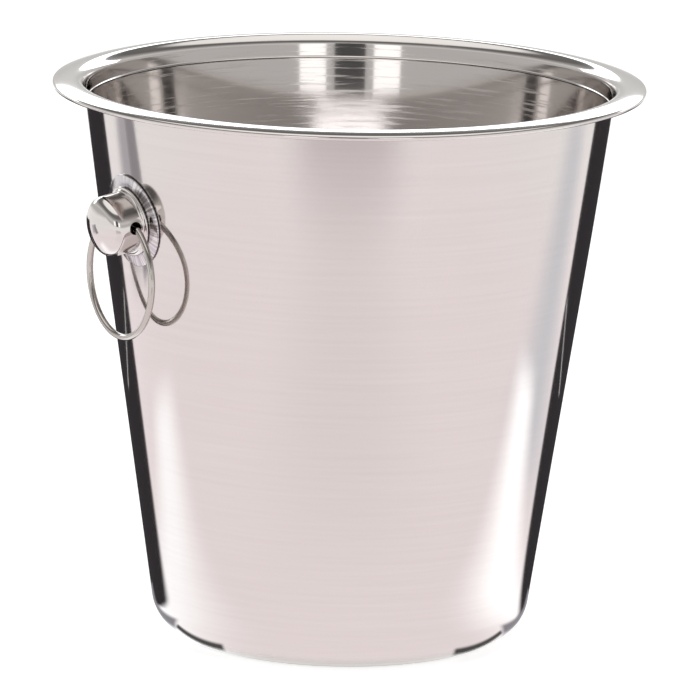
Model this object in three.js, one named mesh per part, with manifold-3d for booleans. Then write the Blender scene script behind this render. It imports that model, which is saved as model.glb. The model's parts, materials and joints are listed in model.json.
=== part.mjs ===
// Champagne bucket in polished stainless steel: a spun, tapered shell with a rolled rim, and two
// drop-ring handles screwed to its sides. Millimetres, +Z up, origin at the middle of the base.
import * as THREE from 'three';
import { mergeVertices } from 'three/addons/utils/BufferGeometryUtils.js';
import Module from 'manifold-3d';

const wasm = await Module();
wasm.setup();

// ---- Driving dimensions -------------------------------------------------------------------------

// Shell
const HEIGHT = 209.3;            // base to the crest of the rim
const BASE_RADIUS = 68.6;        // where the straight wall would meet the base plane
const MOUTH_RADIUS = 99.2;       // where the straight wall would meet the crest plane
const RIM_WIDTH = 10.8;          // mouth to the outermost edge of the rim
const CREST_WIDTH = 2.8;         // mouth to the highest circle of the rim
const SHEET = 0.8;               // steel thickness of the shell
const CORNER_RADIUS = 15.7;      // outside radius between wall and base
const STANDING_WIDTH = 7;        // flat ring that the bucket stands on
const BASE_RISE = 1.6;           // how far the middle of the base is pushed up
const BASE_STEP = 4;             // width of the slope between standing ring and middle
const RIM_DROP = 1.85;           // crest down to the centre of the rolled edge
const ROLL_RADIUS = 0.98;        // rolled edge of the rim
const ROLL_TURN = 2.6;           // how far the edge is rolled under from its outermost point, radians
const ROLL_LAP = 1.3;            // where the sheet runs into the roll, in roll radii from its centre

// Handle, measured outward from the wall
const HANDLE_HEIGHT = 164.6;     // centre of the handle above the base
const HANDLE_SHIFT = 6;          // right handle's turn from exactly opposite the left one, degrees
const ROSETTE_MARGIN = 4.25;     // rosette showing around the knob's flange
const ROSETTE_SHEET = 0.7;
const ROSETTE_DISH = 0.35;       // rise of the rosette between its edge and its middle
const KNOB_RADIUS = 11.3;        // straight side of the knob
const KNOB_FLANGE_WIDTH = 1.65;  // flange standing out from that side
const KNOB_SHEET = 0.8;
const KNOB_DOME = 1.4;           // crown of the face between its rounded edges
const KNOB_EDGE_RADIUS = 4.8;    // rounding between face and side
const EYE_DIAMETER = 4.8;        // holes in the knob's side that the ring turns in
const EYE_LAND = 0.25;           // side left between flange and eye
const KNOB_SHOULDER = 2.4;       // straight side between eye and rounded edge

// Ring
const RING_RADIUS = 22.4;        // centre line
const WIRE_DIAMETER = 2.45;
const RING_PLAY = 0.47;          // room left under the ring's wire where it rests in the eyes
const RING_END_LENGTH = 3;       // straight wire end inside the knob

// Fixing inside each handle
const BOSS_DIAMETER = 7;
const SCREW_DIAMETER = 4;
const SCREW_HEAD_DIAMETER = 8;
const SCREW_HEAD_HEIGHT = 2.4;
const SCREW_BITE = 6.5;          // thread length in the boss
const BORE_SPARE = 1;            // bore left beyond the end of the screw
const DRIVE_WIDTH = 0.9;         // cross slot in the screw head
const DRIVE_SPAN = 4.2;
const DRIVE_DEPTH = 1.3;
const WASHER_DIAMETER = 10;
const WASHER_THICKNESS = 0.8;
const SEAL_DIAMETER = 12;
const SEAL_THICKNESS = 1.2;

// Clearances
const CONTACT_GAP = 0.25;        // between faces that touch
const THREAD_CLEARANCE = 0.25;   // around the screw, on the radius
const HOLE_CLEARANCE = 0.4;      // around the screw where it passes through sheet, on the radius

// Facets
const SHELL_SEGMENTS = 60;
const HANDLE_SEGMENTS = 28;
const SMALL_SEGMENTS = 16;
const WIRE_SIDES = 10;
const RING_STEPS = 44;
const CORNER_STEPS = 6;
const BEND_STEPS = 3;
const ROLL_STEPS = 4;
const EDGE_STEPS = 2;

// ---- Finishes -----------------------------------------------------------------------------------

const finish = (color, roughness, metalness) =>
  new THREE.MeshStandardMaterial({ color, roughness, metalness });
const mirrorSteel = finish(0xd6d3d2, 0.08, 1);
const wireSteel = finish(0xc9c5c2, 0.18, 1);
const plainSteel = finish(0xa9a7a5, 0.38, 1);
const sealRubber = finish(0x1d1d1e, 0.8, 0);

// ---- Wall geometry that everything follows ------------------------------------------------------

const SLOPE = (MOUTH_RADIUS - BASE_RADIUS) / HEIGHT;
const LEAN = Math.atan(SLOPE);
const wallRadius = (z) => BASE_RADIUS + SLOPE * z;
const RIM_RADIUS = MOUTH_RADIUS + RIM_WIDTH;
const CREST_RADIUS = MOUTH_RADIUS + CREST_WIDTH;
const HANDLE_WALL_RADIUS = wallRadius(HANDLE_HEIGHT);

const screwHole = SCREW_DIAMETER / 2 + HOLE_CLEARANCE;
const DRILL_LENGTH = 20;

// ---- Solids -------------------------------------------------------------------------------------

const toVector = ([x, y]) => new THREE.Vector2(x, y);

/** Points on an arc, both ends included; angles in radians. */
function arc(cx, cy, radius, from, to, steps) {
  return Array.from({ length: steps + 1 }, (_, i) => {
    const angle = from + (to - from) * i / steps;
    return [cx + radius * Math.cos(angle), cy + radius * Math.sin(angle)];
  });
}

/** Half profile [radius, z], walked with the material on its left, turned around the Z axis. */
function turned(profile, segments) {
  return new THREE.LatheGeometry(profile.map(toVector), segments).rotateX(Math.PI / 2);
}

/** A flat washer around the Z axis. */
function disc(radius, bore, bottom, top) {
  const section = [[bore, bottom], [radius, bottom], [radius, top], [bore, top], [bore, bottom]];
  return turned(section, SMALL_SEGMENTS);
}

function toSolid(geometry) {
  const bare = geometry.clone();
  bare.deleteAttribute('normal');
  bare.deleteAttribute('uv');
  const welded = mergeVertices(bare);
  return new wasm.Manifold(new wasm.Mesh({
    numProp: 3,
    vertProperties: new Float32Array(welded.attributes.position.array),
    triVerts: new Uint32Array(welded.index.array),
  }));
}

function toGeometry(solid) {
  const { vertProperties, triVerts } = solid.getMesh();
  const geometry = new THREE.BufferGeometry();
  geometry.setAttribute('position', new THREE.BufferAttribute(vertProperties, 3));
  geometry.setIndex(new THREE.BufferAttribute(triVerts, 1));
  geometry.computeVertexNormals();
  return geometry;
}

function cut(geometry, ...tools) {
  return toGeometry(tools.reduce((solid, tool) => solid.subtract(toSolid(tool)), toSolid(geometry)));
}

// ---- Shell --------------------------------------------------------------------------------------

/** Profile of one face of the sheet, from the axis to under the rim, set in from the outside. */
function wallProfile(inset) {
  const cornerZ = CORNER_RADIUS;
  const cornerR = wallRadius(cornerZ) - CORNER_RADIUS / Math.cos(LEAN);
  const standingInner = cornerR - STANDING_WIDTH;
  const middle = standingInner - BASE_STEP;
  return [
    [0, BASE_RISE + inset],
    [middle, BASE_RISE + inset],
    [standingInner, inset],
    ...arc(cornerR, cornerZ, CORNER_RADIUS - inset, -Math.PI / 2, -LEAN, CORNER_STEPS),
  ];
}

/** Radius of the bend from wall to rim that is tangent to the inside of the wall and to the crest. */
function rimBendRadius() {
  const innerMouth = MOUTH_RADIUS - SHEET / Math.cos(LEAN);
  return (CREST_RADIUS - innerMouth) * Math.cos(LEAN) / (1 - SLOPE * Math.cos(LEAN));
}

/** Radius of the shallow arch from the crest out to the rolled edge. */
function rimArchRadius() {
  const reach = RIM_RADIUS - ROLL_RADIUS - CREST_RADIUS;
  return (reach ** 2 + RIM_DROP ** 2 - ROLL_RADIUS ** 2) / (2 * (RIM_DROP - ROLL_RADIUS));
}

function rimProfile() {
  const bend = rimBendRadius();
  const arch = rimArchRadius();
  const rollR = RIM_RADIUS - ROLL_RADIUS;
  const rollZ = HEIGHT - RIM_DROP;
  const archEnd = Math.acos((rollR - CREST_RADIUS) / (arch - ROLL_RADIUS));
  const underEnd = Math.acos((rollR - ROLL_LAP * ROLL_RADIUS - CREST_RADIUS) / (arch - SHEET));
  const bendAt = [CREST_RADIUS, HEIGHT - bend];
  const archAt = [CREST_RADIUS, HEIGHT - arch];
  const wallSide = Math.PI - LEAN;
  return [
    ...arc(...bendAt, bend - SHEET, wallSide, Math.PI / 2, BEND_STEPS),
    ...arc(...archAt, arch - SHEET, Math.PI / 2, underEnd, EDGE_STEPS).slice(1),
    ...arc(rollR, rollZ, ROLL_RADIUS, -ROLL_TURN, 0, ROLL_STEPS),
    ...arc(rollR, rollZ, ROLL_RADIUS, 0, archEnd, EDGE_STEPS).slice(1),
    ...arc(...archAt, arch, archEnd, Math.PI / 2, BEND_STEPS).slice(1),
    ...arc(...bendAt, bend, Math.PI / 2, wallSide, BEND_STEPS).slice(1),
  ];
}

// Each handle's direction round the bucket.
const SIDES = { left: Math.PI, right: THREE.MathUtils.degToRad(HANDLE_SHIFT) };

/** The spun shell, pierced for the two handle screws. */
function bucketShell() {
  const profile = [...wallProfile(0), ...rimProfile(), ...wallProfile(SHEET).reverse()];
  const drill = new THREE.CylinderGeometry(screwHole, screwHole, DRILL_LENGTH, SMALL_SEGMENTS)
    .rotateX(Math.PI / 2).rotateY(Math.PI / 2 + LEAN).translate(HANDLE_WALL_RADIUS, 0, HANDLE_HEIGHT);
  const holes = Object.values(SIDES).map((turn) => drill.clone().rotateZ(turn));
  return cut(turned(profile, SHELL_SEGMENTS), ...holes);
}

// ---- Handle, in a frame whose +Z is the wall's outward normal and whose +X runs down the wall ----

const KNOB_FLANGE_RADIUS = KNOB_RADIUS + KNOB_FLANGE_WIDTH;
const ROSETTE_RADIUS = KNOB_FLANGE_RADIUS + ROSETTE_MARGIN;
const EYE_RADIUS = EYE_DIAMETER / 2;
const rosetteBack = CONTACT_GAP;
const rosetteTop = rosetteBack + ROSETTE_DISH + ROSETTE_SHEET;
const knobFoot = rosetteTop + CONTACT_GAP;
const eyeOffset = knobFoot + KNOB_SHEET + EYE_LAND + EYE_RADIUS;
const shoulder = eyeOffset + EYE_RADIUS + KNOB_SHOULDER;
const knobDepth = shoulder + KNOB_EDGE_RADIUS + KNOB_DOME;

/** Bends a flat piece round the tapered wall; what is further out than `from` stays straight by `to`. */
function bentToWall(geometry, from = Infinity, to = Infinity) {
  const position = geometry.attributes.position;
  for (let i = 0; i < position.count; i += 1) {
    const [down, along, out] = [position.getX(i), position.getY(i), position.getZ(i)];
    const follow = out <= from ? 1 : THREE.MathUtils.clamp((to - out) / (to - from), 0, 1);
    const radius = HANDLE_WALL_RADIUS - down * Math.sin(LEAN);
    position.setZ(i, out - follow * (radius - Math.sqrt(radius ** 2 - along ** 2)));
  }
  geometry.computeVertexNormals();
  return geometry;
}

/** The thin dished disc between knob and wall. */
function rosette() {
  const edge = ROSETTE_SHEET / 2;
  const seat = KNOB_FLANGE_RADIUS;
  const flat = (r) => rosetteBack + ROSETTE_DISH * Math.min(1, (ROSETTE_RADIUS - r) / (ROSETTE_RADIUS - seat));
  return bentToWall(turned([
    [screwHole, flat(0)],
    [seat / 2, flat(0)],
    [seat, flat(seat)],
    ...arc(ROSETTE_RADIUS - edge, rosetteBack + edge, edge, -Math.PI / 2, Math.PI / 2, EDGE_STEPS),
    [seat, flat(seat) + ROSETTE_SHEET],
    [seat / 2, flat(0) + ROSETTE_SHEET],
    [screwHole, flat(0) + ROSETTE_SHEET],
    [screwHole, flat(0)],
  ], HANDLE_SEGMENTS));
}

// The knob's crowned face is an arc about the knob's axis that is tangent to its rounded edge.
const edgeCentre = KNOB_RADIUS - KNOB_EDGE_RADIUS;
const edgeCentreArc = (edgeCentre ** 2 + KNOB_DOME ** 2) / (2 * KNOB_DOME);
const faceLean = Math.asin(edgeCentre / edgeCentreArc);
const faceArc = edgeCentreArc + KNOB_EDGE_RADIUS;

/** Height of the face at a radius, set in from the outside. */
const faceHeight = (r, inset) => knobDepth - faceArc + Math.sqrt((faceArc - inset) ** 2 - r ** 2);

/** One face of the knob's sheet, from the flange to the middle of its face, set in from the outside. */
function knobProfile(inset) {
  return [
    [KNOB_RADIUS - inset, knobFoot + 2 * KNOB_SHEET],
    [KNOB_RADIUS - inset, eyeOffset + EYE_RADIUS],
    ...arc(edgeCentre, shoulder, KNOB_EDGE_RADIUS - inset, 0, Math.PI / 2 - faceLean, ROLL_STEPS),
    ...arc(0, knobDepth - faceArc, faceArc - inset, Math.PI / 2 - faceLean, Math.PI / 2, BEND_STEPS).slice(1),
  ];
}

/** The hollow pressed cup, open at its foot, with an eye in each side. */
function knob() {
  const flangeEdge = KNOB_SHEET / 2;
  const foot = [
    [KNOB_RADIUS - KNOB_SHEET, knobFoot],
    ...arc(
      KNOB_FLANGE_RADIUS - flangeEdge, knobFoot + flangeEdge, flangeEdge,
      -Math.PI / 2, Math.PI / 2, EDGE_STEPS),
  ];
  const sheet = [...foot, ...knobProfile(0), ...knobProfile(KNOB_SHEET).reverse(), foot[0]];
  const cup = turned(sheet, HANDLE_SEGMENTS);
  const eyes = new THREE.CylinderGeometry(EYE_RADIUS, EYE_RADIUS, 4 * KNOB_RADIUS, SMALL_SEGMENTS);
  return cut(bentToWall(cup, knobFoot + KNOB_SHEET, eyeOffset + EYE_RADIUS), eyes.translate(0, 0, eyeOffset));
}

/** The threaded post inside the knob. */
function boss() {
  const bore = SCREW_DIAMETER / 2 + THREAD_CLEARANCE;
  const outside = BOSS_DIAMETER / 2;
  const top = faceHeight(outside, KNOB_SHEET) - CONTACT_GAP;
  const boreEnd = knobFoot + SCREW_BITE + BORE_SPARE;
  return turned([
    [0, boreEnd],
    [bore, boreEnd],
    [bore, knobFoot],
    [outside, knobFoot],
    [outside, top],
    [0, top],
  ], SMALL_SEGMENTS);
}

// Stack inside the bucket, each piece's outer face measured from the wall's outside.
const sealSag = HANDLE_WALL_RADIUS - Math.sqrt(HANDLE_WALL_RADIUS ** 2 - (SEAL_DIAMETER / 2) ** 2);
const sealTop = -SHEET - CONTACT_GAP - sealSag;
const washerTop = sealTop - SEAL_THICKNESS - CONTACT_GAP;
const headTop = washerTop - WASHER_THICKNESS - CONTACT_GAP;

const seal = () => disc(SEAL_DIAMETER / 2, screwHole, sealTop - SEAL_THICKNESS, sealTop);
const washer = () => disc(WASHER_DIAMETER / 2, screwHole, washerTop - WASHER_THICKNESS, washerTop);

/** A pan-head screw with a cross slot, pointing out through the wall. */
function screw() {
  const shank = SCREW_DIAMETER / 2;
  const head = SCREW_HEAD_DIAMETER / 2;
  const low = headTop - SCREW_HEAD_HEIGHT;
  const round = SCREW_HEAD_HEIGHT / 2;
  const tip = knobFoot + SCREW_BITE;
  const body = turned([
    [0, low],
    ...arc(head - round, low + round, round, -Math.PI / 2, 0, BEND_STEPS),
    [head, headTop],
    [shank, headTop],
    [shank, tip - shank / 2],
    [shank / 2, tip],
    [0, tip],
  ], SMALL_SEGMENTS);
  const slot = new THREE.BoxGeometry(DRIVE_SPAN, DRIVE_WIDTH, 2 * DRIVE_DEPTH).translate(0, 0, low);
  return cut(body, slot, slot.clone().rotateZ(Math.PI / 2));
}

// ---- Ring, in a frame whose origin is the middle of its hinge line -------------------------------

/** A round wire loop, open at the top, whose ends turn in along the hinge line. */
function ring() {
  const drop = Math.sqrt(RING_RADIUS ** 2 - KNOB_RADIUS ** 2);
  const open = Math.asin(KNOB_RADIUS / RING_RADIUS);
  const bend = WIRE_DIAMETER / RING_RADIUS / 2;
  const at = (angle) =>
    new THREE.Vector3(0, RING_RADIUS * Math.sin(angle), RING_RADIUS * Math.cos(angle) - drop);
  class Loop extends THREE.Curve {
    getPoint(u, target = new THREE.Vector3()) {
      const angle = open + bend + u * 2 * (Math.PI - open - bend);
      return target.copy(at(angle));
    }
  }
  const end = (side) => new THREE.Vector3(0, side * (KNOB_RADIUS - RING_END_LENGTH), 0);
  const corner = (side) => new THREE.Vector3(0, side * KNOB_RADIUS, 0);
  const start = (side) => new THREE.Vector3(0, side * (KNOB_RADIUS - WIRE_DIAMETER / 2), 0);
  const wire = new THREE.CurvePath();
  wire.add(new THREE.LineCurve3(end(1), start(1)));
  wire.add(new THREE.QuadraticBezierCurve3(start(1), corner(1), at(open + bend)));
  wire.add(new Loop());
  wire.add(new THREE.QuadraticBezierCurve3(at(-open - bend), corner(-1), start(-1)));
  wire.add(new THREE.LineCurve3(start(-1), end(-1)));
  const round = Array.from({ length: WIRE_SIDES }, (_, i) => 2 * Math.PI * i / WIRE_SIDES);
  const section = new THREE.Shape(round.map((angle) => new THREE.Vector2(
    WIRE_DIAMETER / 2 * Math.cos(angle), WIRE_DIAMETER / 2 * Math.sin(angle))));
  return new THREE.ExtrudeGeometry(section, { extrudePath: wire, steps: RING_STEPS });
}

// ---- Assembly -----------------------------------------------------------------------------------

const group = new THREE.Group();

function addMesh(parent, name, geometry, material) {
  const mesh = new THREE.Mesh(geometry, material);
  mesh.name = name;
  parent.add(mesh);
  return mesh;
}

addMesh(group, 'bucket_shell', bucketShell(), mirrorSteel);

const ringRest = ((EYE_DIAMETER - WIRE_DIAMETER) / 2 - RING_PLAY) / Math.SQRT2;
const ringOut = eyeOffset - ringRest;
for (const [side, turn] of Object.entries(SIDES)) {
  const place = new THREE.Group();
  place.rotation.z = turn;
  group.add(place);

  const fitting = new THREE.Group();
  fitting.position.set(HANDLE_WALL_RADIUS, 0, HANDLE_HEIGHT);
  fitting.rotation.y = Math.PI / 2 + LEAN;
  place.add(fitting);
  addMesh(fitting, `${side}_rosette`, rosette(), mirrorSteel);
  addMesh(fitting, `${side}_knob`, knob(), mirrorSteel);
  addMesh(fitting, `${side}_knob_boss`, boss(), plainSteel);
  addMesh(fitting, `${side}_seal_washer`, seal(), sealRubber);
  addMesh(fitting, `${side}_steel_washer`, washer(), plainSteel);
  addMesh(fitting, `${side}_screw`, screw(), plainSteel);

  const loop = addMesh(place, `${side}_ring`, ring(), wireSteel);
  loop.position.set(
    HANDLE_WALL_RADIUS + ringOut * Math.cos(LEAN), 0, HANDLE_HEIGHT - ringOut * Math.sin(LEAN) - ringRest);
}

export default group;
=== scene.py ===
"""A champagne bucket spun from mirror-polished stainless steel, with two drop-ring handles."""
import json
import logging
import math
from dataclasses import dataclass, field
from enum import Enum
from typing import Iterable, Optional, Sequence

import bmesh
import bpy
from mathutils import Matrix, Vector


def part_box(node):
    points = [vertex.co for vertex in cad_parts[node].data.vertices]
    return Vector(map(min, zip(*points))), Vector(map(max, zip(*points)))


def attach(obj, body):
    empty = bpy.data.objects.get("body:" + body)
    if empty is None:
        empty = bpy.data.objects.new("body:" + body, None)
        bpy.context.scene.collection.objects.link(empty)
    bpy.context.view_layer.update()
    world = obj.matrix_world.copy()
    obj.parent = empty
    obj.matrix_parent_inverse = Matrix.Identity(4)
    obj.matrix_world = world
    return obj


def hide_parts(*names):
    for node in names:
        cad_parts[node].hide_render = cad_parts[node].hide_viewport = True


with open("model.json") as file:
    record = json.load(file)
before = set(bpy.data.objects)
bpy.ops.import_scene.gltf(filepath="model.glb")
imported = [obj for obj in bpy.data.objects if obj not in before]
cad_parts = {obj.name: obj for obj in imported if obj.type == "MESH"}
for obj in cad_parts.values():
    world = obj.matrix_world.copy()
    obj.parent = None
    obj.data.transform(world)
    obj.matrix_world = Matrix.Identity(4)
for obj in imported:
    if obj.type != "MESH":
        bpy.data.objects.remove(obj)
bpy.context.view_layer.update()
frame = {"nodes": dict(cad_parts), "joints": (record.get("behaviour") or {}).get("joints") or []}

MM = 0.001
Point = tuple[float, float]
log = logging.getLogger("bucket")


# ---- Colour and nodes ---------------------------------------------------------------------------


def linear(hex_colour: str) -> tuple[float, float, float, float]:
    """Turns an sRGB hex colour into the linear values that a shader takes.

    Args:
        hex_colour: Six hex digits, such as "d9d3cf".

    Returns:
        Red, green, blue and an alpha of 1.
    """
    channels = [int(hex_colour[i:i + 2], 16) / 255 for i in (0, 2, 4)]
    bent = [c / 12.92 if c <= 0.04045 else ((c + 0.055) / 1.055) ** 2.4 for c in channels]
    return (bent[0], bent[1], bent[2], 1.0)


def add_node(
    tree: bpy.types.NodeTree,
    kind: str,
    settings: Optional[dict] = None,
    links: Optional[dict] = None,
    **values: object,
) -> bpy.types.Node:
    """Adds one node, sets it up and links its inputs.

    Args:
        tree: The tree that gets the node.
        kind: The node's type, such as "ShaderNodeMath".
        settings: Socket values, by socket name or number.
        links: Output sockets to link from, by the input socket's name or number.
        **values: Properties of the node itself, such as operation="MULTIPLY".

    Returns:
        The new node.
    """
    node = tree.nodes.new(kind)
    for key, value in values.items():
        setattr(node, key, value)
    for socket, value in (settings or {}).items():
        node.inputs[socket].default_value = value
    for socket, source in (links or {}).items():
        tree.links.new(source, node.inputs[socket])
    return node


def new_material(name: str) -> tuple[bpy.types.Material, bpy.types.NodeTree, bpy.types.Node]:
    """Makes an empty node material.

    Args:
        name: The material's name.

    Returns:
        The material, its node tree and its output node.
    """
    material = bpy.data.materials.new(name)
    material.use_nodes = True
    tree = material.node_tree
    tree.nodes.clear()
    return material, tree, tree.nodes.new("ShaderNodeOutputMaterial")


def around_axis(tree: bpy.types.NodeTree, across: float, along: float) -> bpy.types.NodeSocket:
    """Coordinates for marks that run round the Z axis, as a lathe or a polishing wheel leaves them.

    Args:
        tree: The material's node tree.
        across: How often the pattern changes going round, per turn.
        along: How often it changes along the axis, per metre.

    Returns:
        The coordinate output to link to a texture.
    """
    place = add_node(tree, "ShaderNodeTexCoord").outputs["Object"]
    flat = add_node(tree, "ShaderNodeVectorMath", {1: (1.0, 1.0, 0.0)}, {0: place}, operation="MULTIPLY")
    unit = add_node(tree, "ShaderNodeVectorMath", links={0: flat.outputs[0]}, operation="NORMALIZE")
    round_way = add_node(
        tree, "ShaderNodeVectorMath", {1: (across,) * 3}, {0: unit.outputs[0]}, operation="MULTIPLY")
    up_way = add_node(tree, "ShaderNodeVectorMath", {1: (0.0, 0.0, along)}, {0: place}, operation="MULTIPLY")
    both = add_node(
        tree, "ShaderNodeVectorMath", links={0: round_way.outputs[0], 1: up_way.outputs[0]}, operation="ADD")
    return both.outputs[0]


# ---- Finishes -----------------------------------------------------------------------------------


@dataclass(frozen=True)
class MirrorSteel:
    """Stainless steel, spun on a lathe and mirror-polished with a wheel.

    The wheel leaves faint rings round the bucket, which the eye sees as soft streaks in a bright
    reflection. Real ones are finer than 0.1 mm, so these are drawn a few times coarser. Ice and
    bottles have rubbed the upper inside, which shows as whitish scratches that run round it. They
    are drawn about 1 mm apart, where real ones are down to 0.2 mm. The turn_ sizes say how quickly
    each pattern changes on its way round.
    """

    name: str = "mirror_polished_stainless_steel"
    colour: str = "d1ccc9"
    haze_colour: str = "cac4c1"
    roughness: float = 0.07
    streak_mm: float = 1.6
    streak_depth_mm: float = 0.0003
    hairline_mm: float = 0.35
    hairline_depth_mm: float = 0.00014
    scratch_mm: float = 1.1
    scratch_roughness: float = 0.17
    scratch_share: Point = (0.53, 0.68)
    inside_radius_m: float = 0.0682
    wall_slope: float = 0.1462
    rubbed_heights_m: Point = (0.10, 0.15)
    turn_streaks: float = 1.4
    turn_hairlines: float = 6.0
    turn_scratches: float = 3.2

    def rubbed(self, tree: bpy.types.NodeTree) -> bpy.types.NodeSocket:
        """Where the steel is rubbed: 1 on the upper inside of the wall and 0 elsewhere.

        Args:
            tree: The material's node tree.

        Returns:
            The output that carries it.
        """
        place = add_node(tree, "ShaderNodeTexCoord").outputs["Object"]
        height = add_node(tree, "ShaderNodeSeparateXYZ", links={0: place}).outputs["Z"]
        flat = add_node(tree, "ShaderNodeVectorMath", {1: (1.0, 1.0, 0.0)}, {0: place}, operation="MULTIPLY")
        reach = add_node(tree, "ShaderNodeVectorMath", links={0: flat.outputs[0]}, operation="LENGTH")
        wall = add_node(
            tree, "ShaderNodeMath", {1: self.wall_slope, 2: self.inside_radius_m}, {0: height},
            operation="MULTIPLY_ADD")
        within = add_node(
            tree, "ShaderNodeMath", links={0: reach.outputs["Value"], 1: wall.outputs[0]},
            operation="LESS_THAN")
        low, top = self.rubbed_heights_m
        high = add_node(tree, "ShaderNodeMapRange", {"From Min": low, "From Max": top}, {"Value": height})
        both = add_node(
            tree, "ShaderNodeMath", links={0: within.outputs[0], 1: high.outputs["Result"]},
            operation="MULTIPLY")
        return both.outputs[0]

    def material(self) -> bpy.types.Material:
        """Builds the node material.

        Returns:
            The material.
        """
        material, tree, output = new_material(self.name)
        scratches = add_node(
            tree, "ShaderNodeTexNoise", {"Scale": 1.0, "Detail": 3.0, "Roughness": 0.65},
            {"Vector": around_axis(tree, self.turn_scratches, 1 / (self.scratch_mm * MM))})
        faint, full = self.scratch_share
        cuts = add_node(
            tree, "ShaderNodeMapRange",
            {"From Min": faint, "From Max": full, "To Max": self.scratch_roughness},
            {"Value": scratches.outputs["Fac"]})
        rub = add_node(
            tree, "ShaderNodeMath", links={0: cuts.outputs["Result"], 1: self.rubbed(tree)},
            operation="MULTIPLY")
        streaks = add_node(
            tree, "ShaderNodeTexNoise", {"Scale": 1.0, "Detail": 3.0, "Roughness": 0.6},
            {"Vector": around_axis(tree, self.turn_streaks, 1 / (self.streak_mm * MM))})
        hairlines = add_node(
            tree, "ShaderNodeTexNoise", {"Scale": 1.0, "Detail": 2.0},
            {"Vector": around_axis(tree, self.turn_hairlines, 1 / (self.hairline_mm * MM))})
        haze = add_node(
            tree, "ShaderNodeMapRange", {"To Min": self.roughness * 0.8, "To Max": self.roughness * 1.3},
            {"Value": streaks.outputs["Fac"]})
        wear = add_node(
            tree, "ShaderNodeMath", links={0: haze.outputs["Result"], 1: rub.outputs[0]}, operation="ADD")
        tint = add_node(
            tree, "ShaderNodeMix", {"A": linear(self.colour), "B": linear(self.haze_colour)},
            {"Factor": streaks.outputs["Fac"]}, data_type="RGBA")
        wide = add_node(
            tree, "ShaderNodeBump", {"Strength": 1.0, "Distance": self.streak_depth_mm * MM},
            {"Height": streaks.outputs["Fac"]})
        fine = add_node(
            tree, "ShaderNodeBump", {"Strength": 1.0, "Distance": self.hairline_depth_mm * MM},
            {"Height": hairlines.outputs["Fac"], "Normal": wide.outputs["Normal"]})
        steel = add_node(
            tree, "ShaderNodeBsdfPrincipled", {"Metallic": 1.0},
            {"Base Color": tint.outputs["Result"], "Roughness": wear.outputs[0],
             "Normal": fine.outputs["Normal"]})
        tree.links.new(steel.outputs[0], output.inputs["Surface"])
        return material


@dataclass(frozen=True)
class BrushedDisc:
    """Stainless steel disc, polished and then brushed outwards from its middle.

    The brush leaves straight marks like spokes, which the eye sees as a fan of bright and dark rays
    that turns with the light. The bottoms of the grooves are also painted darker in the colour: painted
    shade that draws the dark rays and does not turn with the light. Real marks are under 0.1 mm wide,
    so these are drawn about 0.9 mm wide.
    """

    name: str = "radially_brushed_stainless_steel"
    colour: str = "d8d4d4"
    groove_shade_colour: str = "9b979d"
    roughness: float = 0.14
    radius_mm: float = 17.2
    mark_mm: float = 0.9
    mark_depth_mm: float = 0.03

    def material(self) -> bpy.types.Material:
        """Builds the node material, whose map holds each spot's direction from the disc's middle.

        Returns:
            The material.
        """
        material, tree, output = new_material(self.name)
        spoke = add_node(tree, "ShaderNodeTexCoord").outputs["UV"]
        marks = add_node(
            tree, "ShaderNodeTexNoise", {"Scale": self.radius_mm / self.mark_mm, "Detail": 3.0},
            {"Vector": spoke})
        bump = add_node(
            tree, "ShaderNodeBump", {"Strength": 1.0, "Distance": self.mark_depth_mm * MM},
            {"Height": marks.outputs["Fac"]})
        wear = add_node(
            tree, "ShaderNodeMapRange", {"To Min": self.roughness * 0.5, "To Max": self.roughness * 1.6},
            {"Value": marks.outputs["Fac"]})
        # Painted shade: the low points of the marks, the groove bottoms, are mixed towards a darker colour.
        depth = add_node(
            tree, "ShaderNodeMapRange", {"From Min": 0.35, "From Max": 0.65}, {"Value": marks.outputs["Fac"]})
        tint = add_node(
            tree, "ShaderNodeMix", {"A": linear(self.groove_shade_colour), "B": linear(self.colour)},
            {"Factor": depth.outputs["Result"]}, data_type="RGBA")
        steel = add_node(
            tree, "ShaderNodeBsdfPrincipled", {"Metallic": 1.0},
            {"Base Color": tint.outputs["Result"], "Roughness": wear.outputs["Result"],
             "Normal": bump.outputs["Normal"]})
        tree.links.new(steel.outputs[0], output.inputs["Surface"])
        return material


@dataclass(frozen=True)
class Grained:
    """A finish with an even grain that dents it and, where it says how wear goes, changes its gloss."""

    name: str
    colour: str
    roughness: float
    grain_mm: float
    grain_depth_mm: float
    detail: float
    bump_strength: float
    wear: Optional[Point] = None
    metallic: float = 1.0
    ior: Optional[float] = None

    def material(self) -> bpy.types.Material:
        """Builds the node material.

        Returns:
            The material.
        """
        material, tree, output = new_material(self.name)
        place = add_node(tree, "ShaderNodeTexCoord").outputs["Object"]
        grain = add_node(
            tree, "ShaderNodeTexNoise", {"Scale": 1 / (self.grain_mm * MM), "Detail": self.detail},
            {"Vector": place})
        bump = add_node(
            tree, "ShaderNodeBump", {"Strength": self.bump_strength, "Distance": self.grain_depth_mm * MM},
            {"Height": grain.outputs["Fac"]})
        shader = add_node(
            tree, "ShaderNodeBsdfPrincipled", {"Metallic": self.metallic, "Base Color": linear(self.colour)},
            {"Normal": bump.outputs["Normal"]})
        if self.wear:
            low, high = self.wear
            gloss = add_node(
                tree, "ShaderNodeMapRange", {"To Min": self.roughness * low, "To Max": self.roughness * high},
                {"Value": grain.outputs["Fac"]})
            tree.links.new(gloss.outputs["Result"], shader.inputs["Roughness"])
        else:
            shader.inputs["Roughness"].default_value = self.roughness
        if self.ior:
            shader.inputs["IOR"].default_value = self.ior
        tree.links.new(shader.outputs[0], output.inputs["Surface"])
        return material


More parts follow.
